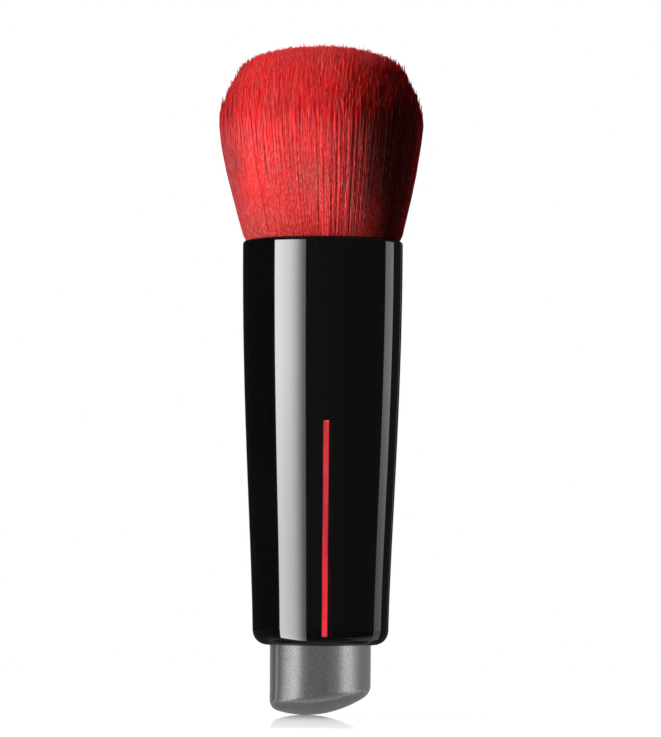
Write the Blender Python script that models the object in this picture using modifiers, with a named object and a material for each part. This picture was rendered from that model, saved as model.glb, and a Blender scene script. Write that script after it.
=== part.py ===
"""A two-ended face brush, built as the pieces that it comes apart into.

A full head of fibre, trimmed like a cut gem, is glued into a cup in the mouth of a tapered
barrel. A soft tip with a slanted, domed end comes out of the hole in the barrel's foot.
Everything inside is loaded through the mouth: the tip's flange lies on the barrel's floor,
a core fills the tip, a liner presses the core's flange down, and a steel rod gives weight.

The brush stands upright on +Z. The origin is on its axis, level with the tip's lowest point.
The coloured line runs down the front, which faces -Y. The tip's end slants up towards +X.
"""

import math

import bmesh
import bpy
import numpy as np
from mathutils import Matrix, Vector

for leftover in list(bpy.data.objects):
    bpy.data.objects.remove(leftover)

MM = 0.001

# Clearance between a piece and its seat
GAP = 0.25 * MM

# Soft tip: a boot with a slanted, domed end and a flange that lies on the barrel's floor
TIP_RADIUS = 9.45 * MM
TIP_WALL = 1.3 * MM
TIP_DOME_RADIUS = 19.0 * MM
TIP_ROUND = 2.4 * MM
TIP_SLANT_SHARE = 0.145
TIP_FLANGE = 1.2 * MM

# Barrel: the foot land is the ring of material round the tip's hole
FOOT_HEIGHT = 12.7 * MM
FOOT_LAND = 3.0 * MM
FOOT_ROUND = 2.4 * MM
BARREL_LENGTH = 75.6 * MM
BARREL_WALL = 1.5 * MM
BARREL_FLOOR = 2.4 * MM
RIM_RADIUS = 14.9 * MM
RIM_LIP = 0.7 * MM
RIM_ROUND = 0.6 * MM
MOUTH_DEPTH = 4.0 * MM
TAPER_EASE_SHARE = 0.78

# Coloured line let into the front of the barrel
LINE_WIDTH = 1.05 * MM
LINE_THICKNESS = 0.4 * MM
LINE_LENGTH = 40.5 * MM
LINE_ABOVE_FOOT = 1.75 * MM
LINE_GAP = 0.1 * MM

# Cushion and core inside the soft tip
CUSHION_HEIGHT = 7.0 * MM
CORE_WALL = 1.3 * MM
CORE_FLOOR = 2.0 * MM
CORE_FLANGE = 1.2 * MM

# Weight rod, its washer and the two sockets that hold it
ROD_RADIUS = 4.0 * MM
ROD_ROUND = 0.5 * MM
WASHER_THICKNESS = 1.5 * MM
SOCKET_WALL = 1.2 * MM
SOCKET_DEPTH = 8.0 * MM

# Liner between the core's flange and the cup
LINER_WALL = 1.0 * MM

# Cup that carries the fibre, snapped into the mouth of the barrel
CUP_WALL = 2.0 * MM
CUP_FLOOR = 1.5 * MM
SKIRT_LENGTH = 4.0 * MM
SKIRT_WALL = 1.0 * MM
SNAP_CREST = 0.3 * MM
SNAP_WIDTH = 1.2 * MM
SNAP_BELOW_CUP_TOP = 2.5 * MM

# Root of the fibre: the fused puck, the band round it and the adhesive under it
ROOT_DEPTH = 9.8 * MM
PUCK_THICKNESS = 3.0 * MM
BAND_THICKNESS = 0.45 * MM
ADHESIVE_THICKNESS = 1.0 * MM

# Fibre head: heights are above the rim, and it goes on widening at the same slope past the girdle
FIBRE_CLEARANCE = 0.3 * MM
BELLY_RADIUS = 18.0 * MM
BELLY_HEIGHT = 13.0 * MM
GIRDLE_RADIUS = 19.2 * MM
GIRDLE_HEIGHT = 21.7 * MM
HEAD_HEIGHT = 36.9 * MM

# Trim of the head: share of the way out from the axis, then share of the way up from the girdle
CROWN_SHARES = (
    (0.0, 1.0),
    (0.2, 0.99),
    (0.5, 0.92),
    (0.65, 0.84),
    (0.73, 0.77),
    (0.8, 0.62),
    (0.92, 0.32),
    (1.0, 0.0),
)

# Strands: equal sectors of rings of triangles, each triangle set in from its neighbours
STRAND_SECTORS = 7
STRAND_RINGS = 7
STRAND_INSET = 0.09 * MM
STRAND_END_SHARE = 0.8

# Facets round the turned pieces, and steps along their curves
BARREL_SIDES = 48
INNER_SIDES = 32
TAPER_STEPS = 12
ROUND_STEPS = 3
DOME_STEPS = 5
FILLET_LIMIT_SHARE = 0.9
SHARP_ANGLE = math.radians(35)
OVERRUN = 1.0 * MM

# Heights above the tip's lowest point that several pieces share
RIM_HEIGHT = FOOT_HEIGHT + BARREL_LENGTH
MOUTH_HEIGHT = RIM_HEIGHT - MOUTH_DEPTH
FLOOR_HEIGHT = FOOT_HEIGHT + BARREL_FLOOR
TIP_FLANGE_HEIGHT = FLOOR_HEIGHT + GAP
CORE_FLANGE_HEIGHT = TIP_FLANGE_HEIGHT + TIP_FLANGE + GAP
LINER_HEIGHT = CORE_FLANGE_HEIGHT + CORE_FLANGE + GAP
CORE_HEIGHT = CUSHION_HEIGHT + GAP
CORE_FLOOR_HEIGHT = CORE_HEIGHT + CORE_FLOOR
ROOT_HEIGHT = RIM_HEIGHT - ROOT_DEPTH
PUCK_HEIGHT = ROOT_HEIGHT - PUCK_THICKNESS
ADHESIVE_HEIGHT = PUCK_HEIGHT - GAP - ADHESIVE_THICKNESS
CUP_FLOOR_HEIGHT = ADHESIVE_HEIGHT - GAP
CUP_HEIGHT = CUP_FLOOR_HEIGHT - CUP_FLOOR
CUP_TOP = MOUTH_HEIGHT - GAP
SNAP_MIDDLE = CUP_TOP - SNAP_BELOW_CUP_TOP
WASHER_TOP = CUP_HEIGHT - GAP


def outer_radius(height):
    """Outside radius of the barrel: an eased taper from foot to rim, rounded off at the foot."""
    along = min(max((height - FOOT_HEIGHT) / BARREL_LENGTH, 0), 1)
    ease = math.sin(math.pi / 2 * along**TAPER_EASE_SHARE) ** 2
    taper = FOOT_RADIUS + (RIM_RADIUS - FOOT_RADIUS) * ease
    into_round = max(FOOT_HEIGHT + FOOT_FILLET - height, 0)
    return taper - FOOT_FILLET + math.sqrt(FOOT_FILLET**2 - into_round**2)


def bore_radius(height):
    """Inside radius of the barrel: a straight draft, so that the mould's core pulls out of the mouth."""
    along = (height - FLOOR_HEIGHT) / (MOUTH_HEIGHT - FLOOR_HEIGHT)
    return FOOT_RADIUS - BARREL_WALL + (RIM_RADIUS - FOOT_RADIUS) * along


# Radii that several pieces share
HOLE_RADIUS = TIP_RADIUS + GAP
FOOT_RADIUS = HOLE_RADIUS + FOOT_LAND
FOOT_FILLET = min(FOOT_ROUND, FOOT_LAND * FILLET_LIMIT_SHARE)
MOUTH_RADIUS = RIM_RADIUS - RIM_LIP
SOCKET_RADIUS = ROD_RADIUS + GAP
CUP_RADIUS = bore_radius(CUP_HEIGHT) - GAP
BAND_RADIUS = CUP_RADIUS - CUP_WALL - GAP
ROOT_RADIUS = BAND_RADIUS - BAND_THICKNESS - GAP
SKIRT_RADIUS = bore_radius(CUP_HEIGHT - SKIRT_LENGTH) - GAP - LINER_WALL - GAP


def head_radius(height):
    """Outside radius of the fibre: straight from bend to bend, and on past the girdle."""
    bends = (
        (ROOT_HEIGHT, ROOT_RADIUS),
        (RIM_HEIGHT, MOUTH_RADIUS - FIBRE_CLEARANCE),
        (RIM_HEIGHT + BELLY_HEIGHT, BELLY_RADIUS),
        (RIM_HEIGHT + GIRDLE_HEIGHT, GIRDLE_RADIUS),
    )
    for (low, low_radius), (high, high_radius) in zip(bends, bends[1:]):
        if height < high:
            break
    return low_radius + (high_radius - low_radius) * (height - low) / (high - low)


def crown_height(share):
    """Height at which a strand is trimmed, from its share of the way out from the axis."""
    outward_shares, upward_shares = zip(*CROWN_SHARES)
    upward = float(np.interp(share, outward_shares, upward_shares))
    return RIM_HEIGHT + GIRDLE_HEIGHT + (HEAD_HEIGHT - GIRDLE_HEIGHT) * upward


def outline(corners):
    """Points of a profile from (radius, height) or (radius, height, rounding) corners."""
    points = []
    for index, corner in enumerate(corners):
        here = Vector(corner[:2])
        if len(corner) == 2:
            points.append(here)
            continue
        before = (Vector(corners[index - 1][:2]) - here).normalized()
        after = (Vector(corners[index + 1][:2]) - here).normalized()
        half_angle = before.angle(after) / 2
        centre = here + (before + after).normalized() * corner[2] / math.sin(half_angle)
        reach = corner[2] / math.tan(half_angle)
        first_arm = here + before * reach - centre
        turn = first_arm.angle_signed(here + after * reach - centre)
        for step in range(ROUND_STEPS + 1):
            points.append(centre + Matrix.Rotation(-turn * step / ROUND_STEPS, 2) @ first_arm)
    return points


def placed(name, mesh, collection):
    """A new object in a collection."""
    obj = bpy.data.objects.new(name, mesh)
    collection.objects.link(obj)
    return obj


def turned(name, points, sides, collection, on_axis=False):
    """A solid of revolution. Its profile runs down the outer side, and is closed or ends on the axis."""
    edges = [(index, index + 1) for index in range(len(points) - 1)]
    if not on_axis:
        edges.append((len(points) - 1, 0))
    mesh = bpy.data.meshes.new(name)
    mesh.from_pydata([(radius, 0, height) for radius, height in points], edges, [])
    obj = placed(name, mesh, collection)
    screw = obj.modifiers.new("turn", "SCREW")
    screw.steps = sides
    screw.render_steps = sides
    screw.use_merge_vertices = True
    screw.merge_threshold = GAP / 100
    return obj


def apply_modifiers(obj):
    """Replaces an object's mesh by the one that its modifiers make."""
    graph = bpy.context.evaluated_depsgraph_get()
    mesh = bpy.data.meshes.new_from_object(obj.evaluated_get(graph))
    obj.modifiers.clear()
    obj.data = mesh


def add_boolean(obj, helper, operation):
    """Cuts an object with a helper, or keeps what it shares with the helper."""
    boolean = obj.modifiers.new(helper.name, "BOOLEAN")
    boolean.operation = operation
    boolean.object = helper
    helper.hide_render = True
    helper.display_type = "WIRE"


def slant_end(obj):
    """Slants the end of a turned piece: what is at or below the tip's edge rises towards +X."""
    apply_modifiers(obj)
    for vertex in obj.data.vertices:
        if vertex.co.z < edge_height() + GAP:
            vertex.co.z += TIP_SLANT_SHARE * vertex.co.x + slant_drop()


def slant_drop():
    """How far the dome's lowest point would fall below zero when the end is slanted."""
    return TIP_DOME_RADIUS * (math.hypot(1, TIP_SLANT_SHARE) - 1)


def edge_height():
    """Height of the top of the tip's rounded edge before it is slanted."""
    inner_radius = TIP_DOME_RADIUS - TIP_ROUND
    return TIP_DOME_RADIUS - math.sqrt(inner_radius**2 - (TIP_RADIUS - TIP_ROUND) ** 2)


def domed_end(wall):
    """Profile of the tip's end before it is slanted, set in by a wall: rounded edge, then dome to the axis."""
    round_centre = TIP_RADIUS - TIP_ROUND
    edge_angle = math.asin(round_centre / (TIP_DOME_RADIUS - TIP_ROUND))
    points = []
    for step in range(ROUND_STEPS + 1):
        angle = (math.pi / 2 - edge_angle) * step / ROUND_STEPS
        arm = TIP_ROUND - wall
        points.append((round_centre + arm * math.cos(angle), edge_height() - arm * math.sin(angle)))
    for step in range(1, DOME_STEPS + 1):
        angle = edge_angle * (1 - step / DOME_STEPS)
        arm = TIP_DOME_RADIUS - wall
        points.append((arm * math.sin(angle), TIP_DOME_RADIUS - arm * math.cos(angle)))
    return points


def line_strip(name, width, depth, rise, bottom, top, collection, cutters):
    """A strip of the barrel's front, of even width, from a depth under its surface to a rise above it."""
    heights = [bottom + (top - bottom) * step / TAPER_STEPS for step in range(TAPER_STEPS + 1)]
    outside = [(outer_radius(height) + rise, height) for height in reversed(heights)]
    inside = [(outer_radius(height) - depth, height) for height in heights]
    ring = turned(name, outside + inside, BARREL_SIDES, collection)
    box = bmesh.new()
    bmesh.ops.create_cube(box, size=1)
    size = Vector((width, RIM_RADIUS + OVERRUN, top - bottom + OVERRUN))
    bmesh.ops.scale(box, vec=size, verts=box.verts)
    bmesh.ops.translate(box, vec=(0, -size.y / 2, (bottom + top) / 2), verts=box.verts)
    mesh = bpy.data.meshes.new(name + "_width")
    box.to_mesh(mesh)
    box.free()
    add_boolean(ring, placed(name + "_width", mesh, cutters), "INTERSECT")
    return ring


def make_front_line(parts, cutters):
    """Slim coloured inlay that lies flush in its groove down the front of the barrel."""
    bottom = FOOT_HEIGHT + LINE_ABOVE_FOOT
    top = bottom + LINE_LENGTH
    return line_strip("front_line", LINE_WIDTH, LINE_THICKNESS, 0, bottom, top, parts, cutters)


def snap_ring(inset, clearance):
    """Profile of the snap bead, going up, or of its groove in the bore, which is wider by a clearance."""
    low = SNAP_MIDDLE - SNAP_WIDTH / 2 - clearance
    high = SNAP_MIDDLE + SNAP_WIDTH / 2 + clearance
    return [
        (bore_radius(low) - inset, low),
        (bore_radius(SNAP_MIDDLE) - inset + SNAP_CREST, SNAP_MIDDLE),
        (bore_radius(high) - inset, high),
    ]


def make_barrel(parts, cutters):
    """Glossy tapered tube with a thin flared mouth, and a floor with a hole for the soft tip."""
    bottom = FOOT_HEIGHT + FOOT_FILLET
    top = RIM_HEIGHT - RIM_ROUND
    heights = [bottom + (top - bottom) * step / TAPER_STEPS for step in range(1, TAPER_STEPS)]
    corners = [(MOUTH_RADIUS, RIM_HEIGHT)]
    corners.append((RIM_RADIUS, RIM_HEIGHT, min(RIM_ROUND, RIM_LIP * FILLET_LIMIT_SHARE)))
    corners += [(outer_radius(height), height) for height in reversed(heights)]
    corners += [
        (FOOT_RADIUS, FOOT_HEIGHT, FOOT_FILLET),
        (HOLE_RADIUS, FOOT_HEIGHT),
        (HOLE_RADIUS, FLOOR_HEIGHT),
        (bore_radius(FLOOR_HEIGHT), FLOOR_HEIGHT),
    ]
    corners += snap_ring(0, GAP)
    corners.append((bore_radius(MOUTH_HEIGHT), MOUTH_HEIGHT))
    obj = turned("barrel", outline(corners), BARREL_SIDES, parts)
    groove_bottom = FOOT_HEIGHT + LINE_ABOVE_FOOT - LINE_GAP
    groove_top = groove_bottom + LINE_LENGTH + LINE_GAP * 2
    width = LINE_WIDTH + LINE_GAP * 2
    depth = LINE_THICKNESS + LINE_GAP
    groove = line_strip("groove", width, depth, OVERRUN, groove_bottom, groove_top, cutters, cutters)
    add_boolean(obj, groove, "DIFFERENCE")
    return obj


def make_soft_tip(parts):
    """Elastomer boot with a slanted, domed end. Its flange lies on the barrel's floor."""
    flange_top = TIP_FLANGE_HEIGHT + TIP_FLANGE
    flange_radius = bore_radius(TIP_FLANGE_HEIGHT) - GAP
    points = [
        (TIP_RADIUS - TIP_WALL, flange_top),
        (flange_radius, flange_top),
        (flange_radius, TIP_FLANGE_HEIGHT),
        (TIP_RADIUS, TIP_FLANGE_HEIGHT),
    ]
    points += domed_end(0)
    points += reversed(domed_end(TIP_WALL))
    obj = turned("soft_tip", points, BARREL_SIDES, parts)
    slant_end(obj)
    return obj


def make_tip_cushion(parts):
    """Soft filling between the tip's domed end and its core."""
    points = [(0, CUSHION_HEIGHT), (TIP_RADIUS - TIP_WALL - GAP, CUSHION_HEIGHT)]
    points += domed_end(TIP_WALL + GAP)
    obj = turned("tip_cushion", points, INNER_SIDES, parts, on_axis=True)
    slant_end(obj)
    return obj


def make_tip_core(parts):
    """Rigid plug that fills the tip. A socket in its middle holds the foot of the weight rod."""
    plug_radius = TIP_RADIUS - TIP_WALL - GAP
    flange_radius = bore_radius(CORE_FLANGE_HEIGHT) - GAP
    flange_top = CORE_FLANGE_HEIGHT + CORE_FLANGE
    points = [
        (0, CORE_FLOOR_HEIGHT),
        (SOCKET_RADIUS, CORE_FLOOR_HEIGHT),
        (SOCKET_RADIUS, flange_top),
        (SOCKET_RADIUS + SOCKET_WALL, flange_top),
        (SOCKET_RADIUS + SOCKET_WALL, CORE_FLOOR_HEIGHT),
        (plug_radius - CORE_WALL, CORE_FLOOR_HEIGHT),
        (plug_radius - CORE_WALL, flange_top),
        (flange_radius, flange_top),
        (flange_radius, CORE_FLANGE_HEIGHT),
        (plug_radius, CORE_FLANGE_HEIGHT),
        (plug_radius, CORE_HEIGHT),
        (0, CORE_HEIGHT),
    ]
    return turned("tip_core", points, INNER_SIDES, parts, on_axis=True)


def make_liner(parts):
    """Drafted tube that presses the core's flange down and carries the cup's underside."""
    top = CUP_HEIGHT - GAP
    points = [
        (bore_radius(top) - GAP, top),
        (bore_radius(LINER_HEIGHT) - GAP, LINER_HEIGHT),
        (bore_radius(LINER_HEIGHT) - GAP - LINER_WALL, LINER_HEIGHT),
        (bore_radius(top) - GAP - LINER_WALL, top),
    ]
    return turned("liner", points, INNER_SIDES, parts)


def make_weight_rod(parts):
    """Steel rod down the middle, held in a socket at each end."""
    bottom = CORE_FLOOR_HEIGHT + GAP
    top = WASHER_TOP - WASHER_THICKNESS - GAP
    corners = [(0, top), (ROD_RADIUS, top, ROD_ROUND), (ROD_RADIUS, bottom, ROD_ROUND), (0, bottom)]
    return turned("weight_rod", outline(corners), INNER_SIDES, parts, on_axis=True)


def make_rod_washer(parts):
    """Foam disc that takes up the play over the rod."""
    bottom = WASHER_TOP - WASHER_THICKNESS
    points = [(0, WASHER_TOP), (ROD_RADIUS, WASHER_TOP), (ROD_RADIUS, bottom), (0, bottom)]
    return turned("rod_washer", points, INNER_SIDES, parts, on_axis=True)


def make_fibre_cup(parts):
    """Cup for the root of the fibre, with a snap bead outside and the rod's upper socket below."""
    skirt_bottom = CUP_HEIGHT - SKIRT_LENGTH
    socket_bottom = CUP_HEIGHT - SOCKET_DEPTH
    points = [
        (0, CUP_FLOOR_HEIGHT),
        (BAND_RADIUS + GAP, CUP_FLOOR_HEIGHT),
        (BAND_RADIUS + GAP, ROOT_HEIGHT),
        (head_radius(CUP_TOP) + GAP, CUP_TOP),
        (bore_radius(CUP_TOP) - GAP, CUP_TOP),
    ]
    points += reversed(snap_ring(GAP, 0))
    points += [
        (CUP_RADIUS, CUP_HEIGHT),
        (SKIRT_RADIUS, CUP_HEIGHT),
        (SKIRT_RADIUS, skirt_bottom),
        (SKIRT_RADIUS - SKIRT_WALL, skirt_bottom),
        (SKIRT_RADIUS - SKIRT_WALL, CUP_HEIGHT),
        (SOCKET_RADIUS + SOCKET_WALL, CUP_HEIGHT),
        (SOCKET_RADIUS + SOCKET_WALL, socket_bottom),
        (SOCKET_RADIUS, socket_bottom),
        (SOCKET_RADIUS, CUP_HEIGHT),
        (0, CUP_HEIGHT),
    ]
    return turned("fibre_cup", points, INNER_SIDES, parts, on_axis=True)


def make_root_adhesive(parts):
    """Disc of cured adhesive between the fibre's root and the cup's floor."""
    top = ADHESIVE_HEIGHT + ADHESIVE_THICKNESS
    points = [(0, top), (BAND_RADIUS, top), (BAND_RADIUS, ADHESIVE_HEIGHT), (0, ADHESIVE_HEIGHT)]
    return turned("root_adhesive", points, INNER_SIDES, parts, on_axis=True)


def make_root_band(parts):
    """Thin metal band crimped round the root of the fibre."""
    inside = BAND_RADIUS - BAND_THICKNESS
    points = [(BAND_RADIUS, ROOT_HEIGHT), (BAND_RADIUS, PUCK_HEIGHT), (inside, PUCK_HEIGHT), (inside, ROOT_HEIGHT)]
    return turned("root_band", points, INNER_SIDES, parts)


def triangle_disc(mesh):
    """Fills a disc at the root with equal sectors of rings of triangles."""
    bmesh.ops.create_circle(mesh, cap_ends=True, cap_tris=True, segments=STRAND_SECTORS, radius=ROOT_RADIUS)
    middles = [face.calc_center_median().normalized() for face in mesh.faces]
    bmesh.ops.subdivide_edges(mesh, edges=mesh.edges[:], cuts=STRAND_RINGS - 1, use_grid_fill=True)
    side_distance = math.cos(math.pi / STRAND_SECTORS)
    for vertex in mesh.verts:
        if vertex.co.length > 0:
            ring_radius = max(vertex.co.dot(middle) for middle in middles) / side_distance
            vertex.co = vertex.co.normalized() * ring_radius
    bmesh.ops.translate(mesh, vec=(0, 0, ROOT_HEIGHT), verts=mesh.verts)


def lengthen_strands(mesh, ends, height_at):
    """Adds a stretch to each strand, out along the fan, up to the height for its share of the way out."""
    ends = bmesh.ops.extrude_discrete_faces(mesh, faces=ends)["faces"]
    for vertex in {vertex for face in ends for vertex in face.verts}:
        radius = head_radius(vertex.co.z)
        height = height_at(vertex.co.xy.length / radius)
        growth = head_radius(height) / radius
        vertex.co = (vertex.co.x * growth, vertex.co.y * growth, height)
    return ends


def make_bristle_head(parts):
    """Strands from a fused puck. They fan out without crossing and end on the trimmed crown."""
    mesh = bmesh.new()
    triangle_disc(mesh)
    ends = mesh.faces[:]
    bmesh.ops.inset_individual(mesh, faces=ends, thickness=STRAND_INSET, use_even_offset=True)
    ends = lengthen_strands(mesh, ends, lambda share: RIM_HEIGHT)
    ends = lengthen_strands(mesh, ends, lambda share: RIM_HEIGHT + BELLY_HEIGHT)
    ends = lengthen_strands(mesh, ends, crown_height)
    for face in ends:
        middle = face.calc_center_median()
        for vertex in face.verts:
            vertex.co = middle.lerp(vertex.co, STRAND_END_SHARE)
    edge = [edge for edge in mesh.edges if edge.is_boundary]
    side = bmesh.ops.extrude_edge_only(mesh, edges=edge)["geom"]
    lowered = [item for item in side if isinstance(item, bmesh.types.BMVert)]
    bmesh.ops.translate(mesh, vec=(0, 0, PUCK_HEIGHT - ROOT_HEIGHT), verts=lowered)
    bmesh.ops.contextual_create(mesh, geom=[item for item in side if isinstance(item, bmesh.types.BMEdge)])
    bmesh.ops.recalc_face_normals(mesh, faces=mesh.faces)
    data = bpy.data.meshes.new("bristle_head")
    mesh.to_mesh(data)
    mesh.free()
    return placed("bristle_head", data, parts)


def finish(obj, colour, roughness, metallic=0.0):
    """Gives a piece its own material, and shades its round surfaces smooth."""
    material = bpy.data.materials.new(obj.name)
    material.use_nodes = True
    surface = material.node_tree.nodes["Principled BSDF"]
    surface.inputs["Base Color"].default_value = (*colour, 1)
    surface.inputs["Roughness"].default_value = roughness
    surface.inputs["Metallic"].default_value = metallic
    apply_modifiers(obj)
    obj.data.materials.clear()
    obj.data.materials.append(material)
    obj.data.shade_smooth()
    obj.data.set_sharp_from_angle(angle=SHARP_ANGLE)


def new_collection(name):
    """A collection in the scene."""
    collection = bpy.data.collections.new(name)
    bpy.context.scene.collection.children.link(collection)
    return collection


def main():
    parts = new_collection("face_brush")
    cutters = new_collection("cutters")
    finish(make_barrel(parts, cutters), (0.004, 0.0035, 0.003), 0.06)
    finish(make_front_line(parts, cutters), (0.61, 0.03, 0.035), 0.2)
    finish(make_soft_tip(parts), (0.2, 0.2, 0.195), 0.4)
    finish(make_tip_cushion(parts), (0.75, 0.74, 0.7), 0.7)
    finish(make_tip_core(parts), (0.05, 0.05, 0.05), 0.45)
    finish(make_weight_rod(parts), (0.56, 0.57, 0.58), 0.3, metallic=1.0)
    finish(make_rod_washer(parts), (0.03, 0.03, 0.03), 0.9)
    finish(make_liner(parts), (0.05, 0.05, 0.05), 0.45)
    finish(make_fibre_cup(parts), (0.01, 0.01, 0.01), 0.35)
    finish(make_root_adhesive(parts), (0.6, 0.45, 0.2), 0.3)
    finish(make_root_band(parts), (0.83, 0.84, 0.85), 0.3, metallic=1.0)
    finish(make_bristle_head(parts), (0.62, 0.018, 0.022), 0.5)


main()
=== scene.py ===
import math
import random

import bmesh
import bpy
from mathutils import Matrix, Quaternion, Vector, noise


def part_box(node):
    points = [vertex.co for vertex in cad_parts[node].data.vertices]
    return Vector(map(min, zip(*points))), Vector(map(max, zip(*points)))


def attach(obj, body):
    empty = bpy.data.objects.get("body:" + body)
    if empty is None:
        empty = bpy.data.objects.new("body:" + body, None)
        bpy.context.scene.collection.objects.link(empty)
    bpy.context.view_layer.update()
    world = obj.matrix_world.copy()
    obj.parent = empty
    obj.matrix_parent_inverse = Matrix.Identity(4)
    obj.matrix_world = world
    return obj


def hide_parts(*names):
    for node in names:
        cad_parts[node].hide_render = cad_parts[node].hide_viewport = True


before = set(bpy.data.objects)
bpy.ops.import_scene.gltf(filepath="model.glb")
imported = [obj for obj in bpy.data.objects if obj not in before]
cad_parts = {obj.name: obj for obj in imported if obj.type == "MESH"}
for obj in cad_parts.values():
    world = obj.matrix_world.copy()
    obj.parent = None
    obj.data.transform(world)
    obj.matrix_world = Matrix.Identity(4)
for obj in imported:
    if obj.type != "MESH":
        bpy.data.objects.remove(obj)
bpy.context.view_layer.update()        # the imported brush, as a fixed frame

mm = 0.001
fullTurn = 2 * math.pi
closeBy = 0.01 * mm       # points nearer than this count as one place
scene = bpy.context.scene

# what the frame says about the brush
barrelLow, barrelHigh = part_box("barrel")
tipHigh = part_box("soft_tip")[1]
lift = 0.2 * mm           # the photograph shows the barrel this much further off the table
footHeight = barrelLow.z + lift
rimHeight = barrelHigh.z + lift
rimRadius = barrelHigh.x
tipFlangeRadius = tipHigh.x
tipFlangeTop = tipHigh.z
print("frame loaded: rim at %.1f mm, foot at %.1f mm" % (rimHeight / mm, footHeight / mm))


# small helpers

def hexColour(code):
    # sRGB hex to the linear values that shaders use
    parts = [int(code[i:i + 2], 16) / 255 for i in (1, 3, 5)]
    return [p / 12.92 if p <= 0.04045 else ((p + 0.055) / 1.055) ** 2.4 for p in parts] + [1.0]


def addNode(tree, kind, inputs=None, **settings):
    # a shader node with its settings, its inputs linked or filled in
    node = tree.nodes.new("ShaderNode" + kind)
    for key, value in settings.items():
        setattr(node, key, value)
    for socket, value in (inputs or {}).items():
        if isinstance(value, bpy.types.NodeSocket):
            tree.links.new(value, node.inputs[socket])
        else:
            node.inputs[socket].default_value = value
    return node


def newSurface(name, **values):
    # a material with its Principled shader ready, and plain values set on its sockets
    material = bpy.data.materials.new(name)
    material.use_nodes = True
    tree = material.node_tree
    shader = tree.nodes["Principled BSDF"]
    for socket, value in values.items():
        shader.inputs[socket.replace("_", " ")].default_value = value
    return material, tree, shader


def newObject(name, bm, material):
    # an object in the scene from a finished bmesh, with one material
    mesh = bpy.data.meshes.new(name)
    bm.to_mesh(mesh)
    bm.free()
    mesh.materials.append(material)
    made = bpy.data.objects.new(name, mesh)
    scene.collection.objects.link(made)
    return made


def between(low, high, share):
    return low + (high - low) * share


def clamped(share):
    return min(max(share, 0), 1)


def shareOf(value, low, high):
    # how far a value has come from low to high, between 0 and 1
    return clamped((value - low) / (high - low))


def curveAt(points, at):
    # straight stretches between listed points, read at one place and level past both ends
    for (x0, y0), (x1, y1) in zip(points, points[1:]):
        if at <= x1:
            break
    return between(y0, y1, shareOf(at, x0, x1))


def finishPiece(bm, name, material, replaced, sharp=35):
    # shades a piece, with edges past the sharp angle in degrees kept crisp, and hands it to the frame
    piece = newObject(name, bm, material)
    piece.data.shade_smooth()
    if sharp:
        piece.data.set_sharp_from_angle(angle=math.radians(sharp))
    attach(piece, "root")
    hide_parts(*replaced)


def spinProfile(points, steps, closed=True, start=0.0, turn=fullTurn):
    # turns (radius, height) points about the brush's axis
    bm = bmesh.new()
    corners = [bm.verts.new((r * math.cos(start), r * math.sin(start), z)) for r, z in points]
    edges = [bm.edges.new(pair) for pair in zip(corners, corners[1:])]
    if closed:
        edges.append(bm.edges.new((corners[-1], corners[0])))
    full = abs(turn - fullTurn) < 1e-6
    bmesh.ops.spin(
        bm, geom=corners + edges, cent=(0, 0, 0), axis=(0, 0, 1),
        angle=turn, steps=steps, use_merge=full,
    )
    bmesh.ops.remove_doubles(bm, verts=bm.verts, dist=0.001 * mm)
    bmesh.ops.recalc_face_normals(bm, faces=bm.faces)
    return bm


def roundRings(bm, rings, segments=6):
    # bevels whole rings, each given as (radius, height, round)
    for radius, height, amount in rings:
        ring = [
            edge for edge in bm.edges
            if all(abs(v.co.z - height) < closeBy for v in edge.verts)
            and all(abs(v.co.xy.length - radius) < closeBy for v in edge.verts)
        ]
        bmesh.ops.bevel(
            bm, geom=ring, offset=amount, offset_type="OFFSET", affect="EDGES",
            segments=segments, profile=0.5, material=-1, clamp_overlap=True,
        )


# barrel: moulded ABS under a polished black lacquer

barrel = {
    "foot": footHeight + 0.16 * mm,
    "rim": rimHeight + 0.14 * mm,
    "rimRadius": rimRadius + 0.14 * mm,
    "rimRound": 0.62 * mm,
    "footRadius": 12.7 * mm,
    "footRound": 2.7 * mm,
    "mouthRadius": 14.2 * mm,
    "mouthRound": 0.06 * mm,
    "mouthDepth": 4.0 * mm,
    "tipHole": 9.7 * mm,
    "holeRound": 0.15 * mm,
    "wall": 1.5 * mm,
    "floor": 2.4 * mm - lift,
    "easeShare": 0.78,            # below 1, the barrel widens sooner above its foot
    "rings": 30,
    "rimClear": 1.5,              # how far the rings keep off the edges, in roundings
    "footClear": 1.08,
    "sides": 224,
}

# the red line let into the barrel's front
line = {
    "width": 1.05 * mm,
    "low": 14.8 * mm,
    "high": 54.65 * mm,
    "sunk": 0.06 * mm,            # depth of its groove
    "side": 0.03 * mm,            # how far the groove's walls slope in
    "fill": 0.9,                  # share of the groove's depth that the strip of ink takes up
    "rows": 24,
    "columns": 6,
}
frontSkin = -barrel["footRadius"] * 0.95      # faces further forward than this are the outer skin


def outerRadius(height):
    along = shareOf(height, footHeight, rimHeight)
    ease = math.sin(math.pi / 2 * along ** barrel["easeShare"]) ** 2
    return between(barrel["footRadius"], barrel["rimRadius"], ease)


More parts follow.
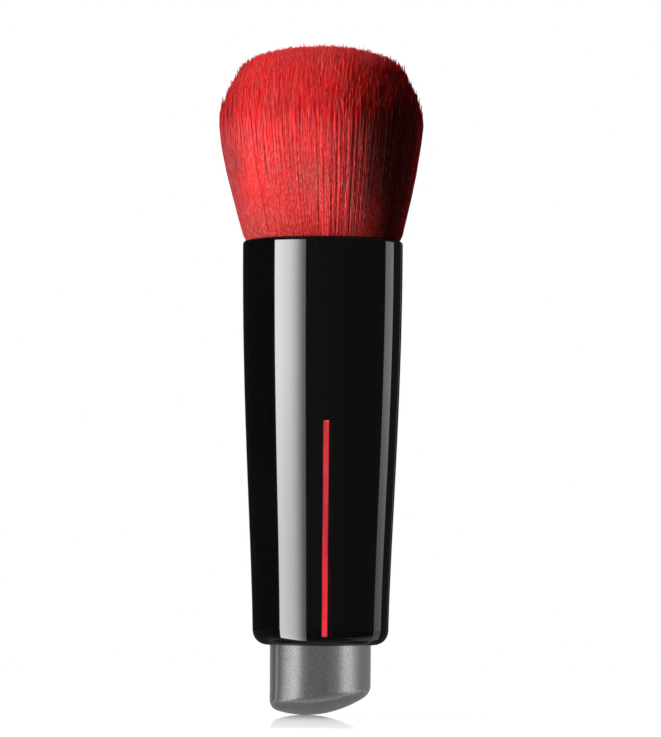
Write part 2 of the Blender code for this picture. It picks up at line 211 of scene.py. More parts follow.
def makeLacquer():
    # piano-black lacquer: a mirror with the faintest haze left by polishing
    material, tree, shader = newSurface("polishedBlackLacquer", Base_Color=hexColour("#050404"), IOR=1.55)
    place = addNode(tree, "TexCoord").outputs["Object"]
    haze = addNode(tree, "TexNoise", {"Vector": place, "Scale": 1 / (9 * mm), "Detail": 3.0})
    amount = addNode(tree, "MapRange", {"Value": haze.outputs["Fac"], "To Min": 0.035, "To Max": 0.06})
    tree.links.new(amount.outputs["Result"], shader.inputs["Roughness"])
    # moulding ripple, 6 mm long and far too shallow to feel, breaks the edges of reflections a little
    ripple = addNode(tree, "TexNoise", {"Vector": place, "Scale": 1 / (6 * mm), "Detail": 1.0})
    bump = addNode(tree, "Bump", {
        "Height": ripple.outputs["Fac"], "Strength": 0.012, "Distance": 0.02 * mm,
    })
    tree.links.new(bump.outputs["Normal"], shader.inputs["Normal"])
    return material


def inLine(point):
    # true on the outer skin inside the line's outline
    return abs(point.x) < line["width"] / 2 and line["low"] < point.z < line["high"] and point.y < frontSkin


def cutFront(bm, place, normal):
    # divides only the outer faces round the line
    near = []
    for face in bm.faces:
        middle = face.calc_center_median()
        if middle.y < frontSkin and abs(middle.x) < 2 * line["width"]:
            near.append(face)
    parts = set(near)
    for face in near:
        parts.update(face.edges)
        parts.update(face.verts)
    bmesh.ops.bisect_plane(bm, geom=list(parts), dist=0.0005 * mm, plane_co=place, plane_no=normal)


def makeBarrel():
    b = barrel
    low, rim, rimOut = b["foot"], b["rim"], b["rimRadius"]
    floorTop = footHeight + b["floor"]
    ringTop = rim - b["rimClear"] * b["rimRound"]
    ringLow = low + b["footClear"] * b["footRound"]
    heights = [rim] + [between(ringTop, ringLow, i / b["rings"]) for i in range(b["rings"] + 1)] + [low]
    points = [(outerRadius(z), z) for z in heights]
    points += [(b["tipHole"], low), (b["tipHole"], floorTop), (b["footRadius"] - b["wall"], floorTop)]
    points += [(rimOut - b["wall"], rim - b["mouthDepth"]), (b["mouthRadius"], rim)]
    bm = spinProfile(points, b["sides"])
    roundRings(bm, [
        (rimOut, rim, b["rimRound"]),
        (b["footRadius"], low, b["footRound"]),
        (b["mouthRadius"], rim, b["mouthRound"]),
        (b["tipHole"], low, b["holeRound"]),
    ])
    # cut the line's outline into the front, then sink it
    for side in (-1, 1):
        cutFront(bm, Vector((side * line["width"] / 2, 0, 0)), Vector((1, 0, 0)))
    for height in (line["low"], line["high"]):
        cutFront(bm, Vector((0, 0, height)), Vector((0, 0, 1)))
    bmesh.ops.recalc_face_normals(bm, faces=bm.faces)
    groove = [f for f in bm.faces if inLine(f.calc_center_median())]
    bmesh.ops.inset_region(
        bm, faces=groove, thickness=line["side"], depth=-line["sunk"], use_even_offset=True,
    )
    finishPiece(bm, "barrelShell", makeLacquer(), ["barrel"])
    print("barrel made")


def makeLineInk():
    # pad-printed gloss ink: even, with a slight unevenness in how thick it lies
    material, tree, shader = newSurface("printedRedInk", Roughness=0.3, IOR=1.5, Specular_IOR_Level=0.2)
    place = addNode(tree, "TexCoord").outputs["Object"]
    film = addNode(tree, "TexNoise", {"Vector": place, "Scale": 1 / (3 * mm), "Detail": 4.0})
    colour = addNode(tree, "Mix", {
        "Factor": film.outputs["Fac"], "A": hexColour("#b42430"), "B": hexColour("#bc343e"),
    }, data_type="RGBA")
    tree.links.new(colour.outputs["Result"], shader.inputs["Base Color"])
    return material


def makeLine():
    # a strip that fills the groove up to the barrel's skin
    low, high = line["low"] + line["side"], line["high"] - line["side"]
    half = line["width"] / 2 - line["side"]
    turn = half / outerRadius(low)
    heights = [between(high, low, i / line["rows"]) for i in range(line["rows"] + 1)]
    points = [(outerRadius(z), z) for z in heights]
    bm = spinProfile(points, line["columns"], closed=False, start=-math.pi / 2 - turn, turn=2 * turn)
    # the barrel flares, so each row is narrowed to the same width
    for vertex in bm.verts:
        radius = vertex.co.xy.length
        vertex.co.x = half * math.atan2(vertex.co.x, -vertex.co.y) / turn
        vertex.co.y = -math.sqrt(radius ** 2 - vertex.co.x ** 2)
    if sum(f.normal.y for f in bm.faces) > 0:
        bmesh.ops.reverse_faces(bm, faces=bm.faces)
    bmesh.ops.solidify(bm, geom=bm.faces[:], thickness=line["sunk"] * line["fill"])
    bmesh.ops.recalc_face_normals(bm, faces=bm.faces)
    finishPiece(bm, "redLine", makeLineInk(), ["front_line"])
    print("line made")


# soft tip: moulded elastomer, slanted and domed at the end

tip = {
    "radius": 9.45 * mm,
    "dome": 19.0 * mm,
    "edgeRound": 2.4 * mm,
    "slantShare": 0.145,          # how much the end rises for each step to the right
    "wall": 1.3 * mm,
    "flange": 1.2 * mm,
    "edgeSteps": 10,
    "domeSteps": 16,
    "sides": 160,
    "flake": 0.3 * mm,            # real pearl flakes are 0.05 mm, too fine to show at this size
    "grain": 0.25 * mm,
}


def makeElastomer():
    # satin TPE full of silver pearl pigment: the mould's fine spark texture softens every reflection
    material, tree, shader = newSurface("pearlGreyElastomer", Metallic=0.9)
    place = addNode(tree, "TexCoord").outputs["Object"]
    cloud = addNode(tree, "TexNoise", {"Vector": place, "Scale": 1 / tip["flake"], "Detail": 3.0})
    flake = addNode(tree, "MapRange", {"Value": cloud.outputs["Fac"], "From Min": 0.35, "From Max": 0.65})
    colour = addNode(tree, "Mix", {
        "Factor": flake.outputs["Result"], "A": hexColour("#919191"), "B": hexColour("#a6a6a5"),
    }, data_type="RGBA")
    tree.links.new(colour.outputs["Result"], shader.inputs["Base Color"])
    rough = addNode(tree, "MapRange", {"Value": cloud.outputs["Fac"], "To Min": 0.14, "To Max": 0.2})
    tree.links.new(rough.outputs["Result"], shader.inputs["Roughness"])
    grain = addNode(tree, "TexNoise", {"Vector": place, "Scale": 1 / tip["grain"], "Detail": 2.0})
    bump = addNode(tree, "Bump", {
        "Height": grain.outputs["Fac"], "Strength": 0.42, "Distance": 0.012 * mm,
    })
    tree.links.new(bump.outputs["Normal"], shader.inputs["Normal"])
    return material


def makeTip():
    t = tip
    corner = t["radius"] - t["edgeRound"]
    reach = math.asin(corner / (t["dome"] - t["edgeRound"]))
    edgeTop = t["dome"] - (t["dome"] - t["edgeRound"]) * math.cos(reach)
    flangeLow = tipFlangeTop - t["flange"]
    points = [(t["radius"] - t["wall"], tipFlangeTop), (tipFlangeRadius, tipFlangeTop)]
    points += [(tipFlangeRadius, flangeLow), (t["radius"], flangeLow)]
    # down the outside round the edge and over the dome, then back up the inside
    for wall, inward in ((0, False), (t["wall"], True)):
        edgeArm, domeArm = t["edgeRound"] - wall, t["dome"] - wall
        arc = []
        for i in range(t["edgeSteps"] + 1):
            angle = (math.pi / 2 - reach) * i / t["edgeSteps"]
            arc.append((corner + edgeArm * math.cos(angle), edgeTop - edgeArm * math.sin(angle)))
        for i in range(1, t["domeSteps"] + 1):
            angle = reach * (1 - i / t["domeSteps"])
            arc.append((domeArm * math.sin(angle), t["dome"] - domeArm * math.cos(angle)))
        points += reversed(arc) if inward else arc
    bm = spinProfile(points, t["sides"])
    # the slant alone would put the dome's lowest point this far under the table
    under = t["dome"] * (math.hypot(1, t["slantShare"]) - 1)
    for vertex in bm.verts:
        if vertex.co.z < edgeTop + closeBy:
            vertex.co.z += t["slantShare"] * vertex.co.x + under
    bmesh.ops.recalc_face_normals(bm, faces=bm.faces)
    finishPiece(bm, "tipBoot", makeElastomer(), ["soft_tip"])
    print("tip made")


# fibre head: dyed and tapered PBT filament, trimmed like a cut gem; its heights are above the rim

head = {
    "seed": 18,
    "girdle": 21.9 * mm,
    "top": 36.25 * mm,
    "lean": -0.45 * mm,                   # the cut head stands a little to the left
    "leanBy": 17 * mm,                    # the height where it leans that far
    "outerFrom": 0.84,                    # share of the radius past which strands reach to the mouth
    "outerStrands": 10000,
    "outerPieces": 5,
    "innerStrands": 21000,
    "innerPieces": 4,
    "innerLength": 8 * mm,
    "innerBends": (1, 0.6, 0.35),         # where they bend, in shares of that length below their ends
    "strandSides": 4,
    "strandWidth": 0.23 * mm,             # real filament is 0.1 mm, too fine to show at this size
    "rows": [-3.2 * mm, 0.25 * mm, 1.2 * mm, 4.5 * mm, 8.5 * mm, 12.5 * mm, 16.5 * mm],
    "taper": 1.4 * mm,
    "tipShare": 0.45,
    "trimSpread": (0.3 * mm, 1.0 * mm),   # how unevenly strands are cut, mid-head and at the girdle
    "trimShort": 0.15,                    # in spreads, how much shorter than the outline they are cut
    "tuftDepth": 0.035 * mm,              # how far tufts of strands stand in and out
    "tuftLength": 11 * mm,
    "tufts": 17,                          # about this many across the head's radius
    "strandDepth": 0.045 * mm,            # the same for each strand by itself
    "strandLength": 4 * mm,
    "drift": 0.12 * mm,                   # how far a strand wanders sideways
    "driftLength": 6 * mm,
    "freeFrom": 4 * mm,                   # the height where strands come free of the mouth
    "neckRadius": 14 * mm,
    "shadeSpread": (0.2, 0.22),           # how far shades differ, from tuft to tuft and strand to strand
    "shadeTufts": 16,
    "rootShadeReach": 3 * mm,                  # the height where the painted shade round the strands' roots ends
    "bedInside": 2.6 * mm,
    "bedBelow": 5.5 * mm,
    "bedSides": 96,
}

# height above the rim, then the radius of the fibre there
bodyProfile = [
    (-3.2 * mm, 12.8 * mm), (0.0, 14.0 * mm), (0.3 * mm, 14.45 * mm), (1.1 * mm, 14.85 * mm),
    (2.6 * mm, 15.25 * mm), (4.9 * mm, 15.82 * mm), (9.4 * mm, 16.95 * mm), (13.9 * mm, 18.0 * mm),
    (18.4 * mm, 18.75 * mm), (21.9 * mm, 19.15 * mm),
]
# share of the way out from the axis, then share of the way up from the girdle to the top
crownShares = [
    (0.0, 1.0), (0.306, 0.982), (0.45, 0.948), (0.53, 0.915), (0.633, 0.872), (0.717, 0.815),
    (0.822, 0.68), (0.87, 0.527), (0.923, 0.38), (0.966, 0.22), (0.996, 0.06), (1.0, 0.0),
]
# height above the rim in mm, then how strong the painted highlight dashes are there: weakest round the
# girdle
highlightStops = [(0, 0.42), (15, 0.45), (18, 0.32), (21, 0.2), (24, 0.22), (27, 0.27), (36, 0.28)]


def headRadius(above):
    return curveAt(bodyProfile, above)


def crownHeight(share):
    return between(head["girdle"], head["top"], curveAt(crownShares, share))


def makeFibre():
    # glossy dyed filament: each strand its own red, with painted shade making it deeper red at the root,
    # where the rim's lip shades it;
    # light soaks through such thin filament, red furthest, so a strand's far side glows too
    material, tree, shader = newSurface(
        "dyedTaperedFilament", IOR=1.5, Specular_IOR_Level=0.2, Subsurface_Weight=1.0,
        Subsurface_Radius=(1.0, 0.15, 0.15), Subsurface_Scale=0.4 * mm,
    )
    shade = addNode(tree, "Attribute", attribute_name="shade")
    along = addNode(tree, "Attribute", attribute_name="along")
    own = addNode(tree, "Mix", {
        "Factor": shade.outputs["Fac"], "A": hexColour("#de161e"), "B": hexColour("#f02c30"),
    }, data_type="RGBA")
    # painted shade: a deeper red near the mouth, where the rim's lip shades the strands
    rootShaded = addNode(tree, "Mix", {
        "Factor": along.outputs["Fac"], "A": hexColour("#c41c20"), "B": own.outputs["Result"],
    }, data_type="RGBA")
    # painted highlights: paler dashes, each about 2 mm long and one strand wide, stand in for the glints
    # that crimped filament catches
    dashWidth, dashLength = 0.2 * mm, 2.2 * mm
    place = addNode(tree, "TexCoord").outputs["Object"]
    stretched = addNode(tree, "Mapping", {
        "Vector": place, "Scale": (1 / dashWidth, 1 / dashWidth, 1 / dashLength),
    })
    dash = addNode(tree, "TexNoise", {"Vector": stretched.outputs["Vector"], "Scale": 1.0, "Detail": 1.0})
    flash = addNode(tree, "MapRange", {"Value": dash.outputs["Fac"], "From Min": 0.5, "From Max": 0.65})
    bare = addNode(tree, "Attribute", attribute_name="bare")
    pale = addNode(tree, "Math", {
        0: flash.outputs["Result"], 1: bare.outputs["Fac"],
    }, operation="MULTIPLY")
    # painted highlight: where a dash falls, a pale salmon is mixed into the strand's colour
    mixed = addNode(tree, "Mix", {
        "Factor": pale.outputs[0], "A": rootShaded.outputs["Result"], "B": hexColour("#fa8c84"),
    }, data_type="RGBA")
    tree.links.new(mixed.outputs["Result"], shader.inputs["Base Color"])
    # the dashes are glossier than the rest
    dull = addNode(tree, "MapRange", {
        "Value": dash.outputs["Fac"], "From Min": 0.4, "From Max": 0.7, "To Min": 0.45, "To Max": 0.3,
    })
    tree.links.new(dull.outputs["Result"], shader.inputs["Roughness"])
    return material


def strandPath(rng, inner):
    # centre points of one strand from its root up, and its shade
    h = head
    edge = h["outerFrom"]
    share = math.sqrt(rng.uniform(0, edge ** 2) if inner else rng.uniform(edge ** 2, 1))
    angle = rng.uniform(0, fullTurn)
    spot = Vector((math.cos(angle), math.sin(angle), 0)) * share
    own = Vector((rng.uniform(0, 50), rng.uniform(0, 50), 0))      # the strand's own place in the noise
    uneven = between(*h["trimSpread"], share ** 5)
    top = crownHeight(share) + rng.gauss(-h["trimShort"], 1) * uneven
    bend = top - h["taper"]
    if inner:
        heights = [top - part * h["innerLength"] for part in h["innerBends"]] + [bend, top]
    else:
        heights = h["rows"] + [between(h["rows"][-1], bend, k / 3) for k in (1, 2, 3)] + [top]
    points = []
    for height in heights:
        loose = shareOf(height, 0, h["freeFrom"])
        tuft = noise.noise(spot * h["tufts"] + Vector((0, 0, height / h["tuftLength"])))
        single = noise.noise(own + Vector((0, 0, height / h["strandLength"])))
        aside = noise.noise(own + Vector((9, 0, height / h["driftLength"])))      # read elsewhere in it
        radius = share * headRadius(height) + (tuft * h["tuftDepth"] + single * h["strandDepth"]) * loose
        turn = angle + loose * (aside * h["drift"]) / h["neckRadius"]
        lean = h["lean"] * shareOf(height, 0, h["leanBy"])
        points.append(Vector((radius * math.cos(turn) + lean, radius * math.sin(turn), rimHeight + height)))
    tuftSpread, strandSpread = h["shadeSpread"]
    tuft = noise.noise(spot * h["shadeTufts"] + Vector((3, 3, 0)))
    return points, clamped(0.5 + tuftSpread * tuft + rng.gauss(0, strandSpread))


def highlightPaleness(height):
    return curveAt(highlightStops, (height - rimHeight) / mm)


def makeLock(name, material, count, inner, rng):
    # one piece of the head: every strand starts as a small face, and all grow a stretch at a time
    strands = [strandPath(rng, inner) for _ in range(count)]
    stretches = len(strands[0][0]) - 1
    bm = bmesh.new()
    shadeLayer = bm.verts.layers.float.new("shade")
    alongLayer = bm.verts.layers.float.new("along")
    # how strong each corner's painted highlight dashes are
    highlightLayer = bm.verts.layers.float.new("bare")
    strandLayer = bm.faces.layers.int.new("strand")
    for index, (points, shade) in enumerate(strands):
        twist = rng.uniform(0, fullTurn)
        corners = []
        for k in range(head["strandSides"]):
            turn = twist + fullTurn * k / head["strandSides"]
            arm = Vector((math.cos(turn), math.sin(turn), 0)) * head["strandWidth"] / 2
            corner = bm.verts.new(points[0] + arm)
            corner[shadeLayer] = shade
            corner[alongLayer] = 1.0 if inner else 0.0
            corner[highlightLayer] = highlightPaleness(points[0].z)
            corners.append(corner)
        bm.faces.new(corners)[strandLayer] = index
    # the faces are extruded upwards, and a turned copy of each closes its strand's root
    ends = bm.faces[:]
    roots = bmesh.ops.duplicate(bm, geom=ends)["geom"]
    bmesh.ops.reverse_faces(bm, faces=[f for f in roots if isinstance(f, bmesh.types.BMFace)])
    for stretch in range(1, stretches + 1):
        ends = bmesh.ops.extrude_discrete_faces(bm, faces=ends)["faces"]
        thinner = head["tipShare"] if stretch == stretches else 1
        for face in ends:
            points = strands[face[strandLayer]][0]
            for corner in face.verts:
                corner.co = points[stretch] + (corner.co - points[stretch - 1]) * thinner
                # the painted shade at the root fades out over the first few mm above the rim
                above = shareOf(corner.co.z - rimHeight, 0, head["rootShadeReach"])
                corner[alongLayer] = 1.0 if inner else above
                corner[highlightLayer] = highlightPaleness(corner.co.z)
    bmesh.ops.remove_doubles(bm, verts=bm.verts, dist=1e-7)
    finishPiece(bm, name, material, ["bristle_head"], sharp=None)
    print("%s made: %d strands" % (name, count))


def makeBed(material):
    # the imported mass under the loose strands, which closes the gaps between them
    heights = [-3 * mm, 0, 2 * mm, 5 * mm, 9 * mm, 13 * mm, 17 * mm, head["girdle"] - 2 * mm]
    side = [(headRadius(z) - head["bedInside"], rimHeight + z) for z in reversed(heights)]
    side.append((0, rimHeight + heights[0]))
    crown = [(share, crownHeight(share)) for share in (0.0, 0.3, 0.55, 0.7, 0.78)]
    top = [(share * headRadius(z), rimHeight + z - head["bedBelow"]) for share, z in crown]
    bm = spinProfile(top + side, head["bedSides"], closed=False)
    finishPiece(bm, "fibreBed", material, ["bristle_head"])


def makeHead():
    rng = random.Random(head["seed"])
    material = makeFibre()
    makeBed(material)
    for part in range(head["outerPieces"]):
        count = head["outerStrands"] // head["outerPieces"]
        makeLock("outerFibre%d" % (part + 1), material, count, False, rng)
    for part in range(head["innerPieces"]):
        count = head["innerStrands"] // head["innerPieces"]
        makeLock("innerFibre%d" % (part + 1), material, count, True, rng)


# hidden pieces: the CAD solids stay, each with its own finish

hidden = {
    # node: (material name, colour, second colour, roughness, metallic, grain)
    "tip_core": ("mouldedPolypropylene", "#3a3a3a", "#444444", 0.45, 0, 0.4 * mm),      # satin grey
    "liner": ("mouldedPolypropylene", "#3a3a3a", "#444444", 0.45, 0, 0.4 * mm),
    "fibre_cup": ("glassFilledNylon", "#1b1b1b", "#262626", 0.4, 0, 0.3 * mm),          # flecked black
    "tip_cushion": ("castSoftGel", "#dcdad2", "#e6e4dd", 0.5, 0, 2 * mm),               # milky
    "weight_rod": ("turnedSteel", "#b9babc", "#cbccce", 0.3, 1, 0.08 * mm),             # fine-grained
    "rod_washer": ("dieCutFoam", "#262626", "#3a3a3a", 0.9, 0, 0.25 * mm),              # matt, open cells
    "root_adhesive": ("curedEpoxy", "#c9a35a", "#d6b36b", 0.25, 0, 1.5 * mm),           # glossy amber
    "root_band": ("rolledAluminium", "#d8d9db", "#e6e7e9", 0.3, 1, 0.1 * mm),           # bright satin
}


def dressHidden():
    made = {}
    for node, (name, first, second, rough, metal, grain) in hidden.items():
        if name not in made:
            material, tree, shader = newSurface(name, Roughness=rough, Metallic=metal)
            place = addNode(tree, "TexCoord").outputs["Object"]
            speck = addNode(tree, "TexNoise", {"Vector": place, "Scale": 1 / grain})
            colour = addNode(tree, "Mix", {
                "Factor": speck.outputs["Fac"], "A": hexColour(first), "B": hexColour(second),
            }, data_type="RGBA")
            tree.links.new(colour.outputs["Result"], shader.inputs["Base Color"])
            made[name] = material
        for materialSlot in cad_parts[node].material_slots:
            materialSlot.material = made[name]
    print("hidden pieces dressed")


# studio: a white table, a soft strip on the left, a thin one on the right, black walls round them

studio = {
    "cameraTurn": -3.3,                       # degrees round from the front
    "cameraAway": 729 * mm,
    "cameraHeight": 31.3 * mm,
    "cameraAim": (1.57 * mm, 0, 64.8 * mm),   # the place at the photograph's middle
    "cameraRoll": 0.36,
    "lens": 190,
    "sensor": 36,
    "tableRadius": 250 * mm,
    "tableSides": 96,
    "panelAway": 600 * mm,
    "panelHeights": (185 * mm, -170 * mm),    # top and foot
    "topAway": (460 * mm, 580 * mm),          # the fill above slants from its near edge to its far one
    "topHeights": (540 * mm, 300 * mm),
    "brushMiddle": 60 * mm,
    "wallAway": 1000 * mm,
    "wallGap": 17,                            # degrees, behind the brush
    "wallSides": 48,
    "wallGlow": (0.02, 0.075),                # the felt's glow on its dark side and on its pale one
    "wallPale": 40,                           # the turn where its pale side stands
    "cardHeight": 0.09 * mm,                  # how far the cards on the table lie above it
}


def standAt(turn, away, height=0.0):
    # a place round the brush: turn in degrees from the camera's line, positive to the right
    angle = math.radians(turn + studio["cameraTurn"])
    return Vector((away * math.sin(angle), -away * math.cos(angle), height))


def makeGlow(name, sampled):
    # light off a panel's front, as strong as its glow attribute says, that hides nothing behind it;
    # where it is sampled, the render aims rays at it as it does at a lamp
    material = bpy.data.materials.new(name)
    material.use_nodes = True
    material.cycles.emission_sampling = "FRONT" if sampled else "NONE"
    tree = material.node_tree
    tree.nodes.remove(tree.nodes["Principled BSDF"])
    level = addNode(tree, "Attribute", attribute_name="glow")
    side = addNode(tree, "NewGeometry")
    front = addNode(tree, "Math", {0: 1.0, 1: side.outputs["Backfacing"]}, operation="SUBTRACT")
    strength = addNode(tree, "Math", {0: level.outputs["Fac"], 1: front.outputs[0]}, operation="MULTIPLY")
    glow = addNode(tree, "Emission", {"Strength": strength.outputs[0]})
    clear = addNode(tree, "BsdfTransparent")
    both = addNode(tree, "AddShader", {0: glow.outputs[0], 1: clear.outputs[0]})
    tree.links.new(both.outputs[0], tree.nodes["Material Output"].inputs["Surface"])


def linkLight(light, piece, state):
    # lets a light reach one piece of the brush alone ("INCLUDE"), or all but that one ("EXCLUDE")
    target = bpy.data.collections.new(light.name + "Target")
    target.objects.link(bpy.data.objects[piece])
    target.collection_objects[0].light_linking.link_state = state
    light.light_linking.receiver_collection = target


def makePanel(name, turns, profile, level, lights=False, shines=True, steps=40,
              aim=None, only=None, without=None):
    # a panel curved round the brush between two turns; level(turn, corner) gives its strength at a corner.
    # It lights the brush, or shines in its gloss, or both, and may reach one piece only, or all but one
    first, last = turns
    begin = math.radians(first + studio["cameraTurn"]) - math.pi / 2
    bm = spinProfile(profile, steps, closed=False, start=begin, turn=math.radians(last - first))
    glowLayer = bm.verts.layers.float.new("glow")
    for corner in bm.verts:
        turn = math.degrees(math.atan2(corner.co.x, -corner.co.y)) - studio["cameraTurn"]
        turn = min((turn - 360, turn, turn + 360), key=lambda t: abs(t - (first + last) / 2))
        corner[glowLayer] = level(turn, corner.co)
        if aim:
            # makeCards starts its corners 1 to 2 m out, which says how far along its fan each is
            corner.co = aim(turn, corner.co.xy.length - 1)
    size = sum(f.calc_area() for f in bm.faces)
    middle = sum((f.calc_center_median() * f.calc_area() for f in bm.faces), Vector()) / size
    bm.normal_update()
    inward = Vector((0, 0, studio["brushMiddle"])) - middle
    if sum(f.normal.dot(inward) for f in bm.faces) < 0:
        bmesh.ops.reverse_faces(bm, faces=bm.faces)
    panel = newObject(name, bm, bpy.data.materials["glintCard" if only else "softPanel"])
    panel.visible_camera = False
    panel.visible_shadow = False
    panel.visible_diffuse = lights
    panel.visible_glossy = shines
    if only or without:
        linkLight(panel, only or without, "INCLUDE" if only else "EXCLUDE")


def footRay(turn, tilt):
    # where the ray that the foot's rounding mirrors into the camera meets the table
    side, slope = math.radians(turn / 2), math.radians(tilt)
    reach = barrel["footRadius"] - barrel["footRound"] * (1 - math.cos(slope))
    height = barrel["foot"] + barrel["footRound"] * (1 - math.sin(slope))
    out = 2 * math.cos(side) * math.cos(slope)
    run = height / (out * math.sin(slope))
    right = reach * math.sin(side) + run * out * math.sin(side) * math.cos(slope)
    near = reach * math.cos(side) + run * (out * math.cos(side) * math.cos(slope) - 1)
    return standAt(90, right) + standAt(0, near) + Vector((0, 0, studio["cardHeight"]))


def footFan(steep, flat=((0, 1.4), (122, 2.2))):
    # lays a panel on the table where the foot mirrors it between two tilts, both curves over the turn
    def place(turn, share):
        tilt = between(curveAt(flat, abs(turn)), curveAt(steep, abs(turn)), share ** 2)
        spot = footRay(turn, tilt)
        spot.xy *= min(studio["tableRadius"] / spot.xy.length, 1)
        return spot
    return place


def makeWalls():
    # black felt all round but for a gap behind the brush: it keeps the lacquer black out to its edges
    away, gap = studio["wallAway"], studio["wallGap"]
    outline = [(0.0, away), (away, away), (away, -away), (0.0, -away)]
    begin = math.pi / 2 + math.radians(studio["cameraTurn"] + gap / 2)
    bm = spinProfile(
        outline, studio["wallSides"], closed=False, start=begin, turn=math.radians(360 - gap),
    )
    glowLayer = bm.verts.layers.float.new("glow")
    for corner in bm.verts:
        facing = corner.co.dot(standAt(studio["wallPale"], 1)) / max(corner.co.xy.length, away / 2)
        corner[glowLayer] = between(*studio["wallGlow"], clamped(0.5 + facing))
    material, tree, shader = newSurface(
        "blackFelt", Base_Color=hexColour("#0a0a0a"), Roughness=1.0,
        Specular_IOR_Level=0.0, Emission_Color=hexColour("#ffffff"),
    )
    level = addNode(tree, "Attribute", attribute_name="glow")
    tree.links.new(level.outputs["Fac"], shader.inputs["Emission Strength"])
    walls = newObject("feltWalls", bm, material)
    walls.visible_camera = False
    walls.visible_diffuse = False
    walls.visible_shadow = False


def byReach(tree, reach, stops):
    # a value that follows the distance from the brush; each stop is a distance in mm and the value there
    far = stops[-1][0]
    share = addNode(tree, "MapRange", {"Value": reach.outputs["Value"], "From Max": far * mm})
    node = addNode(tree, "ValToRGB", {"Fac": share.outputs["Result"]})
    ramp = node.color_ramp
    while len(ramp.elements) < len(stops):
        ramp.elements.new(0.5)
    for element, (away, value) in zip(ramp.elements, stops):
        element.position = away / far
        element.color = (value, value, value, 1)
    return node.outputs["Color"]


# distance from the brush in mm, then the value there
mirrorStops = [(0, 0.82), (9, 0.77), (21, 0.46), (33, 0.35), (45, 0.28), (54, 0.24), (57, 0.0)]
glintStops = [
    (0, 0.1), (9.8, 0.1), (10.6, 0.33), (11.8, 0.33), (13.2, 0.12), (17, 0.09), (21, 0.05), (250, 0.05),
]
whiteStops = [(0, 0.9), (40, 0.93), (130, 1.0)]
bounceStops = [(0, 0.8), (25, 0.7), (45, 0.05), (250, 0.05)]


def makeTable():
    # white acrylic: it keeps a faint shadow, and mirrors the brush close to where it stands
    material = bpy.data.materials.new("whiteAcrylic")
    material.use_nodes = True
    tree = material.node_tree
    tree.nodes.remove(tree.nodes["Principled BSDF"])
    rays = addNode(tree, "LightPath").outputs
    place = addNode(tree, "TexCoord").outputs["Object"]
    reach = addNode(tree, "VectorMath", {0: place}, operation="LENGTH")
    # what the lacquer sees of it is pale under the foot alone, reaching twice as far to the sides
    squeezed = addNode(tree, "VectorMath", {0: place, 1: (0.48, 1, 1)}, operation="MULTIPLY")
    oval = addNode(tree, "VectorMath", {0: squeezed.outputs["Vector"]}, operation="LENGTH")
    pale = byReach(tree, oval, glintStops)
    glint = addNode(tree, "Math", {0: rays["Is Glossy Ray"], 1: pale}, operation="MULTIPLY")
    # white to the eye and through glass, a shade less close to the brush
    seen = addNode(tree, "Math", {0: rays["Is Camera Ray"], 1: glint.outputs[0]}, operation="MAXIMUM")
    through = addNode(tree, "Math", {
        0: seen.outputs[0], 1: rays["Is Transmission Ray"],
    }, operation="MAXIMUM")
    white = byReach(tree, reach, whiteStops)
    bright = addNode(tree, "Math", {0: through.outputs[0], 1: white}, operation="MULTIPLY")
    glow = addNode(tree, "Emission", {"Color": hexColour("#ffffff"), "Strength": bright.outputs[0]})
    # its own colour to the eye; in the light that it throws back, bright only close to the tip
    bounce = byReach(tree, reach, bounceStops)
    thrown = addNode(tree, "Math", {0: rays["Is Diffuse Ray"], 1: bounce}, operation="MULTIPLY")
    colour = addNode(tree, "Mix", {
        "Factor": rays["Is Camera Ray"], "A": thrown.outputs[0], "B": hexColour("#b4b4b4"),
    }, data_type="RGBA")
    paint = addNode(tree, "BsdfDiffuse", {"Color": colour.outputs["Result"]})
    lit = addNode(tree, "AddShader", {0: glow.outputs[0], 1: paint.outputs[0]})
    # the polish shows at a grazing look alone, and fades out away from the brush
    gloss = addNode(tree, "BsdfGlossy", {"Color": hexColour("#ffffff"), "Roughness": 0.05})
    grazing = addNode(tree, "Fresnel", {"IOR": 1.1})
    shallow = addNode(tree, "MapRange", {"Value": grazing.outputs["Fac"], "From Min": 0.2, "From Max": 0.58})
    mirrored = byReach(tree, reach, mirrorStops)
    coat = addNode(tree, "Math", {0: mirrored, 1: shallow.outputs["Result"]}, operation="MULTIPLY")
    share = addNode(tree, "Math", {0: coat.outputs[0], 1: rays["Is Camera Ray"]}, operation="MULTIPLY")
    surface = addNode(tree, "MixShader", {0: share.outputs[0], 1: lit.outputs[0], 2: gloss.outputs[0]})
    tree.links.new(surface.outputs[0], tree.nodes["Material Output"].inputs["Surface"])
    bm = bmesh.new()
    bmesh.ops.create_circle(bm, cap_ends=True, segments=studio["tableSides"], radius=studio["tableRadius"])
    table = newObject("acrylicTable", bm, material)


def makeWorld():
    # white to the eye, in reflections and through glass; dim as a light
    world = bpy.data.worlds.new("studio")
    scene.world = world
    world.use_nodes = True
    tree = world.node_tree
    rays = addNode(tree, "LightPath").outputs
    seen = addNode(tree, "Math", {0: rays["Is Camera Ray"], 1: rays["Is Glossy Ray"]}, operation="MAXIMUM")
    through = addNode(tree, "Math", {
        0: seen.outputs[0], 1: rays["Is Transmission Ray"],
    }, operation="MAXIMUM")
    strength = addNode(tree, "MapRange", {"Value": through.outputs[0], "To Min": 0.02, "To Max": 1.0})
    sky = tree.nodes["Background"]
    sky.inputs["Color"].default_value = hexColour("#ffffff")
    tree.links.new(strength.outputs["Result"], sky.inputs["Strength"])


# a narrow strip light with a honeycomb grid: it lights the front from the left, and not the right side
beam = {
    "turn": -25,
    "away": 320 * mm,
    "aside": 0.8 * mm,
    "middle": 68 * mm,
    "rise": 18 * mm,
    "size": (21 * mm, 140 * mm),
    "spread": 2.0,
    "watts": 0.0136,
}


